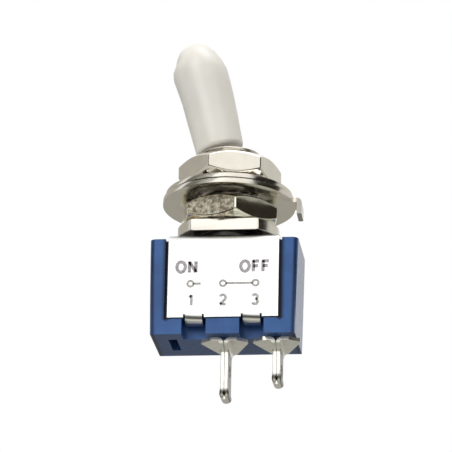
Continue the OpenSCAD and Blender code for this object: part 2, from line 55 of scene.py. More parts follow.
def finished(name: str, bm: bmesh.types.BMesh, smooth_angle: float = 35.0) -> bpy.types.Object:
    """Turns a bmesh that is drawn in millimetres into an object at the origin.

    Args:
        name: Name of the piece.
        bm: The piece's mesh in millimetres; it is freed.
        smooth_angle: Edges flatter than this many degrees are shaded smooth.

    Returns:
        The new object, linked to the scene.
    """
    bmesh.ops.recalc_face_normals(bm, faces=bm.faces)
    bmesh.ops.scale(bm, vec=(MM, MM, MM), verts=bm.verts)
    limit = math.radians(smooth_angle)
    for face in bm.faces:
        face.smooth = True
    for edge in bm.edges:
        edge.smooth = len(edge.link_faces) == 2 and edge.calc_face_angle(0.0) < limit
    mesh = bpy.data.meshes.new(name)
    bm.to_mesh(mesh)
    bm.free()
    piece = bpy.data.objects.new(name, mesh)
    bpy.context.scene.collection.objects.link(piece)
    return piece


def lathe(bm: bmesh.types.BMesh, outline: Outline, steps: int) -> None:
    """Spins an outline of (radius, height) points about Z into a closed surface.

    Args:
        bm: The bmesh to add to.
        outline: The points in order; where it starts and ends at radius 0 the poles are closed.
        steps: Number of steps of the full turn.
    """
    verts = [bm.verts.new((r, 0.0, z)) for r, z in outline]
    edges = [bm.edges.new(pair) for pair in zip(verts, verts[1:])]
    bmesh.ops.spin(bm, geom=verts + edges, cent=(0, 0, 0), axis=(0, 0, 1), dvec=(0, 0, 0),
                   angle=math.tau, steps=steps, use_merge=True)
    bmesh.ops.remove_doubles(bm, verts=bm.verts, dist=1e-5)


def split(bm: bmesh.types.BMesh, place: tuple[float, float, float],
          normal: tuple[float, float, float], clear: bool = False) -> None:
    """Cuts a whole mesh along a plane.

    Args:
        bm: The mesh.
        place: A point of the plane.
        normal: The plane's normal.
        clear: Whether what lies on the normal's side is taken away.
    """
    bmesh.ops.bisect_plane(bm, geom=bm.verts[:] + bm.edges[:] + bm.faces[:], dist=1e-5,
                           plane_co=place, plane_no=normal, clear_outer=clear)


def arc_points(cx: float, cz: float, r: float, start: float, end: float, steps: int) -> Outline:
    """Points on an arc.

    Args:
        cx: Centre's first coordinate.
        cz: Centre's second coordinate.
        r: Radius.
        start: First angle in degrees.
        end: Last angle in degrees.
        steps: Number of steps between them.

    Returns:
        The points from start to end.
    """
    angles = [math.radians(start + (end - start) * i / steps) for i in range(steps + 1)]
    return [(cx + r * math.cos(a), cz + r * math.sin(a)) for a in angles]


def dress(piece: bpy.types.Object, material: bpy.types.Material) -> None:
    """Gives a piece one material.

    Args:
        piece: A new piece or a CAD node.
        material: Its material.
    """
    piece.data.materials.clear()
    piece.data.materials.append(material)


# ------------------------------------------------------------------- materials


class Nodes:
    """A short hand for wiring one material's nodes."""

    def __init__(self, name: str) -> None:
        """Starts a material of that name with a Principled shader."""
        self.material = bpy.data.materials.new(name)
        self.material.use_nodes = True
        self.tree = self.material.node_tree
        self.shader = self.tree.nodes["Principled BSDF"]
        self.coords = self.add("ShaderNodeTexCoord").outputs["Object"]

    def add(self, kind: str, **values: float | str | bool) -> bpy.types.Node:
        """Adds a node.

        Args:
            kind: The node's Blender type.
            **values: Socket values by input name with underscores, or the node's own properties.

        Returns:
            The new node.
        """
        node = self.tree.nodes.new(kind)
        for key, value in values.items():
            socket = node.inputs.get(key.replace("_", " "))
            if socket is None:
                setattr(node, key, value)
            else:
                socket.default_value = value
        return node

    def link(self, source: bpy.types.NodeSocket, target: bpy.types.NodeSocket) -> None:
        """Links two sockets."""
        self.tree.links.new(source, target)

    def stretched(self, scale: tuple[float, float, float]) -> bpy.types.NodeSocket:
        """Object coordinates multiplied along each axis.

        Args:
            scale: Factor along X, Y and Z.

        Returns:
            The socket with the scaled coordinates.
        """
        mapping = self.add("ShaderNodeMapping")
        mapping.inputs["Scale"].default_value = scale
        self.link(self.coords, mapping.inputs["Vector"])
        return mapping.outputs["Vector"]

    def noise(self, scale: float, detail: float = 3.0, vector: bpy.types.NodeSocket | None = None,
              roughness: float = 0.55) -> bpy.types.NodeSocket:
        """A noise texture's value.

        Args:
            scale: Cells per metre.
            detail: Octaves.
            vector: Coordinates, or None for plain object coordinates.
            roughness: How strong the finer octaves are.

        Returns:
            The noise's factor socket.
        """
        node = self.add("ShaderNodeTexNoise", Scale=scale, Detail=detail, Roughness=roughness)
        self.link(vector or self.coords, node.inputs["Vector"])
        return node.outputs["Fac"]

    def ramp(self, value: bpy.types.NodeSocket, stops: list[tuple[float, Colour]]) -> bpy.types.NodeSocket:
        """A colour ramp.

        Args:
            value: What drives it.
            stops: Position and colour of each stop.

        Returns:
            The ramp's colour socket.
        """
        node = self.add("ShaderNodeValToRGB")
        elements = node.color_ramp.elements
        while len(elements) < len(stops):
            elements.new(0.5)
        for element, (position, colour) in zip(elements, stops):
            element.position = position
            element.color = (*colour, 1.0)
        self.link(value, node.inputs["Fac"])
        return node.outputs["Color"]

    def spread(self, value: bpy.types.NodeSocket, low: float, high: float) -> bpy.types.NodeSocket:
        """Maps a 0 to 1 value to a range.

        Args:
            value: The value.
            low: Result at 0.
            high: Result at 1.

        Returns:
            The mapped value's socket.
        """
        node = self.add("ShaderNodeMapRange")
        node.inputs["To Min"].default_value = low
        node.inputs["To Max"].default_value = high
        self.link(value, node.inputs["Value"])
        return node.outputs["Result"]

    def place(self, axis: str, folded: float | None = None) -> bpy.types.NodeSocket:
        """Where a point lies along one axis.

        Args:
            axis: "X", "Y" or "Z".
            folded: If given, the distance of the axis's absolute value from this many millimetres.

        Returns:
            The socket, in metres.
        """
        parts = self.add("ShaderNodeSeparateXYZ")
        self.link(self.coords, parts.inputs["Vector"])
        value = parts.outputs[axis]
        if folded is None:
            return value
        return self.math("ABSOLUTE", self.math("SUBTRACT", self.math("ABSOLUTE", value), folded * MM))

    def math(self, operation: str, first: bpy.types.NodeSocket,
             second: bpy.types.NodeSocket | float = 0.0) -> bpy.types.NodeSocket:
        """Joins two values.

        Args:
            operation: Name of the math operation.
            first: First value.
            second: Second value, or a plain number.

        Returns:
            The result's socket.
        """
        node = self.add("ShaderNodeMath", operation=operation)
        self.link(first, node.inputs[0])
        if isinstance(second, float):
            node.inputs[1].default_value = second
        else:
            self.link(second, node.inputs[1])
        return node.outputs[0]

    def share(self, value: bpy.types.NodeSocket, at_zero: float, at_one: float) -> bpy.types.NodeSocket:
        """How far a place has come from one height or width to another, held between 0 and 1.

        Args:
            value: The place, in metres.
            at_zero: Where the share is 0, in millimetres.
            at_one: Where the share is 1, in millimetres.

        Returns:
            The share's socket.
        """
        node = self.add("ShaderNodeMapRange")
        node.inputs["From Min"].default_value = at_zero * MM
        node.inputs["From Max"].default_value = at_one * MM
        self.link(value, node.inputs["Value"])
        return node.outputs["Result"]

    def away(self, x: float, z: float) -> bpy.types.NodeSocket:
        """Distance from a line along Y.

        Args:
            x: The line's place along X, in millimetres.
            z: The line's place along Z, in millimetres.

        Returns:
            The socket, in metres.
        """
        flat = self.add("ShaderNodeVectorMath", operation="MULTIPLY")
        self.link(self.coords, flat.inputs[0])
        flat.inputs[1].default_value = (1.0, 0.0, 1.0)
        distance = self.add("ShaderNodeVectorMath", operation="DISTANCE")
        self.link(flat.outputs["Vector"], distance.inputs[0])
        distance.inputs[1].default_value = (x * MM, 0.0, z * MM)
        return distance.outputs["Value"]

    def darkened(self, colour: bpy.types.NodeSocket, value: bpy.types.NodeSocket, start: float,
                 end: float, level: float) -> bpy.types.NodeSocket:
        """Darkens a colour gradually between two places; this script paints shade with it.

        Args:
            colour: The colour's socket.
            value: A place along an axis, in metres.
            start: Place in millimetres where the colour is still whole.
            end: Place in millimetres where it is darkest.
            level: Share of the colour that is left there.

        Returns:
            The new colour's socket.
        """
        share = self.add("ShaderNodeMapRange", interpolation_type="SMOOTHSTEP")
        low, high = (start, end) if start < end else (end, start)
        share.inputs["From Min"].default_value = low * MM
        share.inputs["From Max"].default_value = high * MM
        share.inputs["To Min"].default_value = 1.0 if start < end else level
        share.inputs["To Max"].default_value = level if start < end else 1.0
        self.link(value, share.inputs["Value"])
        scaled = self.add("ShaderNodeVectorMath", operation="SCALE")
        self.link(colour, scaled.inputs[0])
        self.link(share.outputs["Result"], scaled.inputs["Scale"])
        return scaled.outputs["Vector"]

    def bump(self, height: bpy.types.NodeSocket, distance: float, strength: float = 1.0,
             under: bpy.types.NodeSocket | None = None) -> bpy.types.NodeSocket:
        """Adds a bump node.

        Args:
            height: Height socket.
            distance: Height of the relief in metres.
            strength: Strength of the bump.
            under: Normal of a bump below this one.

        Returns:
            The normal socket.
        """
        node = self.add("ShaderNodeBump", Strength=strength, Distance=distance)
        self.link(height, node.inputs["Height"])
        if under is not None:
            self.link(under, node.inputs["Normal"])
        return node.outputs["Normal"]


def shaded(colour: Colour, factor: float) -> Colour:
    """A colour made lighter or darker.

    Args:
        colour: Linear RGB.
        factor: What each part is multiplied by.

    Returns:
        The new colour.
    """
    return tuple(min(1.0, part * factor) for part in colour)


@dataclass(frozen=True)
class MouldedPlastic:
    """Semi-gloss moulded plastic with a faint flow pattern, with painted shade in its grooves and at its
    rounded ends.
    """

    name: str = "blue_moulding"
    colour: Colour = (0.053, 0.138, 0.37)
    roughness: float = 0.28
    groove_x: float = 4.98
    groove_low: float = -11.3
    end_x: float = 6.583
    draft: float = 0.0208

    def build(self) -> bpy.types.Material:
        """Builds the material."""
        n = Nodes(self.name)
        flow = n.noise(420.0, 2.0)
        colour = n.ramp(flow, [(0.3, shaded(self.colour, 0.86)), (0.7, shaded(self.colour, 1.14))])
        # Painted shade in the grooves beside the front pillars, fading out below the groove's low end.
        below = n.share(n.place("Z"), self.groove_low, self.groove_low - 0.7)
        groove_shade = n.math("ADD", n.place("X", self.groove_x), n.math("MULTIPLY", below, MM))
        colour = n.darkened(colour, groove_shade, 0.5, 0.05, 0.12)
        # Painted shade along the rounded side edges of the ends, where they turn away from the light.
        width = n.math("ABSOLUTE", n.place("X"))
        across = n.math("SUBTRACT", width, n.math("MULTIPLY", n.place("Z"), self.draft))
        corner = n.math("ABSOLUTE", n.math("SUBTRACT", across, (self.end_x - 0.2) * MM))
        colour = n.darkened(colour, corner, 0.3, 0.0, 0.25)
        n.link(colour, n.shader.inputs["Base Color"])
        ends = n.share(across, self.end_x - 0.1, self.end_x - 0.03)
        n.link(n.spread(ends, 0.12, 0.9), n.shader.inputs["Specular IOR Level"])
        n.link(n.spread(n.noise(1500.0), self.roughness - 0.06, self.roughness + 0.08),
               n.shader.inputs["Roughness"])
        n.link(n.bump(n.noise(9000.0, 2.0), 0.004 * MM, 0.35, n.bump(flow, 0.03 * MM, 0.3)),
               n.shader.inputs["Normal"])
        return n.material


class Lay(Enum):
    """How the fine marks on a plated surface run."""

    NONE = (1.0, 1.0, 1.0)
    ALONG_X = (0.06, 1.0, 1.0)


@dataclass(frozen=True)
class Plating:
    """Bright plated metal with a slightly uneven gloss; scuff wears its front left side, and shade, if given,
    is painted shade along one axis.
    """

    name: str
    colour: Colour = (0.72, 0.69, 0.62)
    roughness: float = 0.14
    lay: Lay = Lay.NONE
    wave: float = 0.012
    shade: tuple[str, float, float, float] | None = None
    scuff: float = 0.0

    def build(self) -> bpy.types.Material:
        """Builds the material."""
        n = Nodes(self.name)
        n.shader.inputs["Metallic"].default_value = 1.0
        patches = n.noise(700.0, 3.0)
        colour = n.ramp(patches, [(0.25, shaded(self.colour, 0.93)), (0.75, shaded(self.colour, 1.05))])
        if self.scuff > 0:
            right, rear = n.share(n.place("X"), 0.8, 1.0), n.share(n.place("Y"), -1.2, -0.8)
            sound = n.math("MAXIMUM", right, rear)
            marks = n.math("MAXIMUM", n.noise(2300.0, 2.0, roughness=0.7), sound)
            worn = n.ramp(marks, [(0.38, (0.4, 0.37, 0.33)), (0.6, (1.25, 1.22, 1.16))])
            mixed = n.add("ShaderNodeVectorMath", operation="MULTIPLY")
            n.link(colour, mixed.inputs[0])
            n.link(worn, mixed.inputs[1])
            colour = mixed.outputs["Vector"]
        # Painted shade: the colour darkens from start to end along one axis.
        if self.shade is not None:
            axis, start, end, level = self.shade
            colour = n.darkened(colour, n.place(axis), start, end, level)
        n.link(colour, n.shader.inputs["Base Color"])
        lines = n.noise(4200.0, 4.0, n.stretched(self.lay.value), 0.7)
        n.link(n.spread(lines, self.roughness - 0.05, self.roughness + 0.09), n.shader.inputs["Roughness"])
        normal = n.bump(lines, 0.004 * MM, 0.5, n.bump(n.noise(900.0, 1.0), self.wave * MM, 0.6))
        if self.scuff > 0:
            normal = n.bump(marks, self.scuff * MM, 1.0, normal)
        n.link(normal, n.shader.inputs["Normal"])
        return n.material


@dataclass(frozen=True)
class LugPlating:
    """Dull tin plating of a terminal, with painted shade on the sides of its lug and in the fold's eye."""

    name: str
    middle: float
    tip: float
    colour: Colour = (0.86, 0.85, 0.79)
    roughness: float = 0.34
    root: float = -13.3

    def build(self) -> bpy.types.Material:
        """Builds the material."""
        n = Nodes(self.name)
        n.shader.inputs["Metallic"].default_value = 1.0
        patches = n.noise(1600.0, 3.0)
        colour = n.ramp(patches, [(0.3, shaded(self.colour, 0.92)), (0.7, shaded(self.colour, 1.06))])
        # Painted shade on the lug's side faces, below the root of the wings.
        lower = n.share(n.place("Z"), self.root, self.root - 0.3)
        side = n.math("MULTIPLY", n.place("X", self.middle), lower)
        colour = n.darkened(colour, side, 0.24, 0.34, 0.3)
        # Painted shade in the fold's eye, darkest at its middle.
        colour = n.darkened(colour, n.away(self.middle, self.tip + 0.5), 0.2, 0.08, 0.12)
        n.link(colour, n.shader.inputs["Base Color"])
        n.link(n.spread(n.noise(3200.0), self.roughness - 0.05, self.roughness + 0.1),
               n.shader.inputs["Roughness"])
        n.link(n.bump(n.noise(2500.0, 2.0), 0.006 * MM, 0.5), n.shader.inputs["Normal"])
        return n.material


@dataclass(frozen=True)
class SoftVinyl:
    """The sleeve's ivory vinyl: smooth, slightly see-through at its edges."""

    name: str = "ivory_vinyl"
    colour: Colour = (0.87, 0.845, 0.78)

    def build(self) -> bpy.types.Material:
        """Builds the material."""
        n = Nodes(self.name)
        cloud = n.noise(260.0, 2.0)
        n.link(n.ramp(cloud, [(0.3, shaded(self.colour, 0.96)), (0.7, shaded(self.colour, 1.03))]),
               n.shader.inputs["Base Color"])
        n.link(n.spread(n.noise(2200.0), 0.30, 0.42), n.shader.inputs["Roughness"])
        n.link(n.bump(n.noise(5200.0, 2.0), 0.003 * MM, 0.4), n.shader.inputs["Normal"])
        n.shader.inputs["Subsurface Weight"].default_value = 0.25
        n.shader.inputs["Subsurface Radius"].default_value = (1.0, 0.95, 0.8)
        n.shader.inputs["Subsurface Scale"].default_value = 0.5 * MM
        return n.material


@dataclass(frozen=True)
class Ink:
    """Grey pad-printed ink, a little thin in places."""

    name: str = "legend_ink"
    colour: Colour = (0.31, 0.295, 0.31)

    def build(self) -> bpy.types.Material:
        """Builds the material."""
        n = Nodes(self.name)
        thin = n.noise(5200.0, 2.0)
        n.link(n.ramp(thin, [(0.35, self.colour), (0.75, shaded(self.colour, 2.2))]),
               n.shader.inputs["Base Color"])
        n.link(n.spread(thin, 0.5, 0.7), n.shader.inputs["Roughness"])
        return n.material


# ---------------------------------------------------------------- sub-assemblies


@dataclass
class ThreadedBushing:
    """The bushing with its cut thread, keyway and two-flat collar, in place of the plain CAD one."""

    thread_r: float = 3.0
    root_r: float = 2.56
    pitch: float = 0.75
    top: float = 4.85
    chamfer: float = 0.35
    mouth_r: float = 2.15
    throat_r: float = 1.5
    throat_z: float = 3.1
    collar_r: float = 4.5
    flat_y: float = 3.35
    collar_top: float = -2.15
    collar_low: float = -3.2
    shoulder_r: float = 3.1
    frame_top: float = -3.6
    key_half: float = 0.5
    key_floor: float = 2.55
    key_ease: float = 0.04
    steps: int = 96

    def body_outline(self) -> Outline:
        """The turned body's closed outline, with its small edge breaks."""
        cut = 0.07
        return [
            (self.throat_r, self.throat_z), (self.mouth_r, self.top - 0.02), (self.mouth_r + 0.04, self.top),
            (self.thread_r - self.chamfer - 0.04, self.top), (self.thread_r - self.chamfer, self.top - 0.03),
            (self.root_r, self.top - 0.12), (self.root_r, self.collar_top + 0.1),
            (self.root_r, self.collar_top), (self.collar_r - cut, self.collar_top),
            (self.collar_r, self.collar_top - cut), (self.collar_r, self.collar_low + cut),
            (self.collar_r - cut, self.collar_low), (self.shoulder_r, self.collar_low),
            (self.shoulder_r, self.frame_top), (self.throat_r, self.frame_top),
            (self.throat_r, self.throat_z),
        ]

    def ridge_outline(self) -> Outline:
        """One ridge of the thread: 60 degree flanks and a small flat crest."""
        rise, flat = self.thread_r - self.root_r, 0.1
        half = (self.pitch - 0.06 - flat) / 2
        return [(self.root_r - 0.02, 0.0), (self.root_r + rise * 0.94, half - 0.02), (self.thread_r, half),
                (self.thread_r, half + flat), (self.root_r + rise * 0.94, half + flat + 0.02),
                (self.root_r - 0.02, 2 * half + flat)]

    def build(self, material: bpy.types.Material) -> None:
        """Builds the bushing.

        Args:
            material: Its plating.
        """
        bm = bmesh.new()
        lathe(bm, self.body_outline(), self.steps)
        for side in (-1, 1):
            split(bm, (0, side * self.flat_y, 0), (0, 1, 0))
        for vert in bm.verts:
            vert.co.y = max(-self.flat_y, min(self.flat_y, vert.co.y))
        bmesh.ops.remove_doubles(bm, verts=bm.verts, dist=1e-4)
        bmesh.ops.dissolve_limit(bm, angle_limit=math.radians(0.5), verts=bm.verts, edges=bm.edges)
        corners = [e for e in bm.edges if e.calc_face_angle(0.0) > 0.35
                   and all(abs(abs(v.co.y) - self.flat_y) < 1e-3 for v in e.verts)]
        bmesh.ops.bevel(bm, geom=corners, offset=0.06, segments=3, profile=0.5, affect="EDGES", material=-1)
        self.add_thread(bm)
        self.cut_keyway(bm)
        piece = finished("threaded_bushing", bm, 30.0)
        dress(piece, material)
        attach(piece, "housing")
        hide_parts("bushing")
        log.info("threaded_bushing: %d faces", len(piece.data.polygons))

    def add_thread(self, bm: bmesh.types.BMesh) -> None:
        """Winds the ridge up the body and fades it into the end chamfer.

        Args:
            bm: The body's mesh, in millimetres.
        """
        turns = math.ceil((self.top - self.collar_top) / self.pitch) + 2
        low = self.collar_top - self.pitch
        verts = [bm.verts.new((r, 0.0, low + z)) for r, z in self.ridge_outline()]
        edges = [bm.edges.new(pair) for pair in zip(verts, verts[1:])]
        count = turns * self.steps
        known = set(bm.verts) - set(verts)
        bmesh.ops.spin(bm, geom=verts + edges, cent=(0, 0, 0), axis=(0, 0, 1), angle=math.tau * turns,
                       dvec=(0, 0, self.pitch / self.steps), steps=count, use_merge=False)
        for place, way in ((self.top - 0.01, 1), (self.collar_top + 0.01, -1)):
            ridge = [v for v in bm.verts if v not in known]
            faces = [f for f in bm.faces if f.verts[0] not in known]
            loose = [e for e in bm.edges if e.verts[0] not in known]
            bmesh.ops.bisect_plane(bm, geom=ridge + loose + faces, dist=1e-5, plane_co=(0, 0, place),
                                   plane_no=(0, 0, way), clear_outer=True)
        for vert in bm.verts:
            if vert in known:
                continue
            widest = self.thread_r - max(0.0, vert.co.z - (self.top - self.chamfer))
            radius = math.hypot(vert.co.x, vert.co.y)
            if radius > widest:
                vert.co.x *= widest / radius
                vert.co.y *= widest / radius

    def cut_keyway(self, bm: bmesh.types.BMesh) -> None:
        """Flattens the thread to the keyway's floor on the +X side.

        Args:
            bm: The threaded mesh, in millimetres.
        """
        wide = self.key_half + self.key_ease
        for y in (-wide, -self.key_half, self.key_half, wide):
            split(bm, (0, y, 0), (0, 1, 0))
        hair = 0.01
        for vert in bm.verts:
            in_thread = self.key_floor < vert.co.x < self.thread_r + hair and vert.co.z > self.collar_top
            if in_thread and abs(vert.co.y) < self.key_half + hair:
                vert.co.x = self.key_floor


@dataclass
class Sleeve:
    """The lever's vinyl sleeve: a dipped bat, slightly uneven, with a rolled mouth."""

    pivot: float = 1.7
    tilt: float = 14.0
    mouth_r: float = 2.15
    mouth: float = 3.9
    lip_r: float = 0.38
    widest_r: float = 2.45
    dome: float = 11.25
    tip: float = 14.3
    wall: float = 0.6
    bat_start: float = 4.13
    neck_r: float = 1.06
    steps: int = 72
    uneven: tuple[tuple[float, float, float], ...] = (
        (3.8, 0.0, 0.0), (7.0, 0.0, 0.04), (9.4, 0.04, 0.02), (10.4, -0.04, -0.03), (11.2, -0.1, -0.1),
        (11.9, -0.08, -0.2), (12.6, 0.12, -0.26), (13.3, 0.05, -0.26), (13.9, -0.1, -0.24),
        (14.3, -0.14, -0.2),
    )

    def outline(self) -> Outline:
        """The sleeve's closed outline round the lever's axis."""
        lip = arc_points(self.mouth_r - self.lip_r, self.mouth + 0.2, self.lip_r, -72.0, 0.0, 6)
        taper = [(self.mouth_r + (self.widest_r - self.mouth_r) * t / 6,
                  self.mouth + 0.35 + (self.dome - self.mouth - 0.35) * t / 6) for t in range(1, 6)]
        shell = [(self.widest_r * math.cos(a), self.dome + (self.tip - self.dome) * math.sin(a))
                 for a in (math.radians(90.0 * i / 20) for i in range(21))]
        inner_r, inner_tip = self.widest_r - self.wall, self.tip - self.wall
        hollow = [(inner_r * math.cos(a), self.dome + (inner_tip - self.dome) * math.sin(a))
                  for a in (math.radians(90.0 - 90.0 * i / 12) for i in range(13))]
        start = (self.neck_r, self.mouth - 0.12)
        return [start, *lip, *taper, *shell, *hollow, (self.mouth_r - self.wall, self.bat_start),
                (self.neck_r, self.bat_start), start]

    def offset(self, height: float, side: int) -> float:
        """How far the uneven skin lies outside the plain outline.

        Args:
            height: Height above the pivot.
            side: 1 for the left half, 2 for the right half.

        Returns:
            The offset along X, in millimetres, for the left (1) or right (2) half.
        """
        before = self.uneven[0]
        for after in self.uneven[1:]:
            if height <= after[0]:
                share = (height - before[0]) / (after[0] - before[0])
                share = max(0.0, share) ** 2 * (3 - 2 * max(0.0, share))
                return before[side] + (after[side] - before[side]) * share
            before = after
        return self.uneven[-1][side]

    def build(self, material: bpy.types.Material) -> None:
        """Builds the sleeve on the tilted lever.

        Args:
            material: Its vinyl.
        """
        bm = bmesh.new()
        lathe(bm, self.outline(), self.steps)
        for vert in bm.verts:
            radius = math.hypot(vert.co.x, vert.co.y) or 1.0
            share = vert.co.x / radius
            vert.co.x += abs(share) * self.offset(vert.co.z, 1 if share < 0 else 2)
        turn = Matrix.Translation((0, 0, self.pivot)) @ Matrix.Rotation(math.radians(-self.tilt), 4, "Y")
        bmesh.ops.transform(bm, matrix=turn, verts=bm.verts)
        piece = finished("vinyl_sleeve", bm, 50.0)
        dress(piece, material)
        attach(piece, "lever")
        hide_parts("lever_cap")
        log.info("vinyl_sleeve: %d faces", len(piece.data.polygons))


@dataclass
class FoldedTerminal:
    """A terminal whose lug and wings are folded from one strip, under the stem of its CAD node."""

    node: str
    middle: float
    length: float
    material: bpy.types.Material
    base: float = -12.65
    sheet: float = 0.32
    gap: float = 0.04
    bend: float = 0.25
    wing_x: float = 2.05
    wing_full: float = 1.13
    wing_half: float = 2.2
    wing_front: float = -1.45
    wing_back: float = -1.15
    blade: float = 0.68
    lug_half: float = 1.2
    lug_top: float = 1.07
    tip_half: float = 0.2
    eye: float = 0.1
    hole_r: float = 0.55
    hole_drop: float = 2.5
    drill_l: float = 3.0
    tongue: float = 0.8
    slack: float = 0.01
    neck: float = 0.48
    neck_steps: int = 4
    arc_steps: int = 8
    edge: float = 0.05
    sharp_angle: float = 32.0

    def half_strip(self) -> Outline:
        """The strip's middle line on one side, as X and Z under the case, from the fold to a wing."""
        leaf_x = (self.gap + self.sheet) / 2
        fold_r, bend_r = self.eye + self.sheet / 2, self.bend + self.sheet / 2
        fold_z = -self.length + fold_r + self.sheet / 2
        fold = arc_points(0.0, fold_z, fold_r, -90.0, 0.0, self.arc_steps)
        neck = []
        for t in (i / self.neck_steps for i in range(1, self.neck_steps + 1)):
            closed = 0.5 - 0.5 * math.cos(math.pi * t)
            neck.append((fold_r - (fold_r - leaf_x) * closed, fold_z + self.neck * t))
        leaf = [(leaf_x, z) for z in (-self.hole_drop, -self.lug_top, -self.lug_top / 2 - 0.05)]
        bend = arc_points(leaf_x + bend_r, -self.sheet / 2 - bend_r, bend_r, 180.0, 90.0, self.arc_steps)
        wing = [(x, -self.sheet / 2) for x in (self.blade, self.wing_full, self.wing_x)]
        return [*fold, *neck, *leaf, *bend, *wing]

    def sides(self, x: float, z: float) -> tuple[float, float]:
        """Where the strip's front and back edges lie.

        Args:
            x: Place along X from the lug's middle.
            z: Place along Z under the case.

        Returns:
            Y of the front edge and of the back edge.
        """
        front, back, out = -self.wing_half, self.wing_half, abs(x)
        if out > self.wing_full:
            front += (out - self.wing_full) / (self.wing_x - self.wing_full) * (self.wing_front - front)
        if out > self.blade:
            back += (out - self.blade) / (self.wing_x - self.blade) * (self.wing_back - back)
        flare = (-z - self.lug_top / 2) / (self.lug_top / 2)
        half = self.wing_half + (self.lug_half - self.wing_half) * max(0.0, min(1.0, flare))
        corner = self.lug_half - self.tip_half
        depth = -self.length + corner - z
        if depth > 0:
            half = self.tip_half + math.sqrt(max(0.0, corner ** 2 - depth ** 2))
        return max(front, -half), min(back, half)

    def fold(self) -> bmesh.types.BMesh:
        """Folds the strip: a ring of four corners at each point of its middle line."""
        half = self.half_strip()
        line = [(-x, z) for x, z in reversed(half[1:])] + half
        bm = bmesh.new()
        rings = []
        for i, (x, z) in enumerate(line):
            before, after = line[max(0, i - 1)], line[min(len(line) - 1, i + 1)]
            dx, dz = after[0] - before[0], after[1] - before[1]
            size = math.hypot(dx, dz)
            nx, nz = -dz / size * self.sheet / 2, dx / size * self.sheet / 2
            front, back = self.sides(x, z)
            rings.append([bm.verts.new((self.middle + x + side * nx, y, self.base + z + side * nz))
                          for side, y in ((1, front), (1, back), (-1, back), (-1, front))])
        for one, two in zip(rings, rings[1:]):
            for k in range(4):
                bm.faces.new((one[k], one[(k + 1) % 4], two[(k + 1) % 4], two[k]))
        bm.faces.new(rings[0])
        bm.faces.new(rings[-1])
        bmesh.ops.recalc_face_normals(bm, faces=bm.faces)
        return bm

    def pierced(self, piece: bpy.types.Object) -> bmesh.types.BMesh:
        """Cuts the wire hole through both leaves.

        Args:
            piece: The folded strip; it is removed.

        Returns:
            The pierced strip's mesh, in metres.
        """
        bm = bmesh.new()
        bmesh.ops.create_cone(bm, cap_ends=True, segments=40, radius1=self.hole_r, radius2=self.hole_r,
                              depth=self.drill_l)
        bmesh.ops.rotate(bm, verts=bm.verts, cent=(0, 0, 0), matrix=Matrix.Rotation(math.pi / 2, 3, "Y"))
        bmesh.ops.translate(bm, verts=bm.verts, vec=(self.middle, 0, self.base - self.hole_drop))
        cutter = finished(f"{self.node}_drill", bm)
        drill = piece.modifiers.new("wire_hole", "BOOLEAN")
        drill.operation, drill.solver, drill.object = "DIFFERENCE", "EXACT", cutter
        bpy.context.view_layer.update()
        cut = piece.evaluated_get(bpy.context.evaluated_depsgraph_get()).to_mesh()
        bm = bmesh.new()
        bm.from_mesh(cut)
        for spare in (piece, cutter):
            mesh = spare.data
            bpy.data.objects.remove(spare)
            bpy.data.meshes.remove(mesh)
        return bm

    def in_case(self) -> bpy.types.Mesh:
        """The part of the CAD node inside the case, and the tongue between the lug's bends, in metres."""
        bm = bmesh.new()
        bm.from_mesh(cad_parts[self.node].data)
        bmesh.ops.scale(bm, vec=(1 / MM, 1 / MM, 1 / MM), verts=bm.verts)
        bmesh.ops.remove_doubles(bm, verts=bm.verts, dist=1e-4)
        split(bm, (0, 0, self.base), (0, 0, -1), clear=True)
        bmesh.ops.holes_fill(bm, edges=[e for e in bm.edges if e.is_boundary], sides=0)
        tongue = bmesh.ops.create_cube(bm, size=1.0)["verts"]
        size = (self.blade - 2 * self.slack, 2 * self.tongue, self.lug_top / 2)
        bmesh.ops.scale(bm, vec=size, verts=tongue)
        place = (self.middle, 0, self.base - self.lug_top / 4 - self.slack)
        bmesh.ops.translate(bm, verts=tongue, vec=place)
        bmesh.ops.scale(bm, vec=(MM, MM, MM), verts=bm.verts)
        mesh = bpy.data.meshes.new(f"{self.node}_inner")
        bm.to_mesh(mesh)
        bm.free()
        return mesh

    def build(self) -> None:
        """Builds the terminal from its folded strip and the part inside the case."""
        inner = self.in_case()
        bm = self.pierced(finished(f"{self.node}_strip", self.fold()))
        bm.from_mesh(inner)
        bpy.data.meshes.remove(inner)
        bmesh.ops.scale(bm, vec=(1 / MM, 1 / MM, 1 / MM), verts=bm.verts)
        piece = finished(f"folded_{self.node}", bm, 30.0)
        dress(piece, self.material)
        bevel = piece.modifiers.new("edges", "BEVEL")
        bevel.width, bevel.segments = self.edge * MM, 2
        bevel.limit_method, bevel.angle_limit = "ANGLE", math.radians(self.sharp_angle)
        bevel.harden_normals = True
        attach(piece, "housing")
        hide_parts(self.node)
        log.info("folded_%s: %d faces", self.node, len(piece.data.polygons))


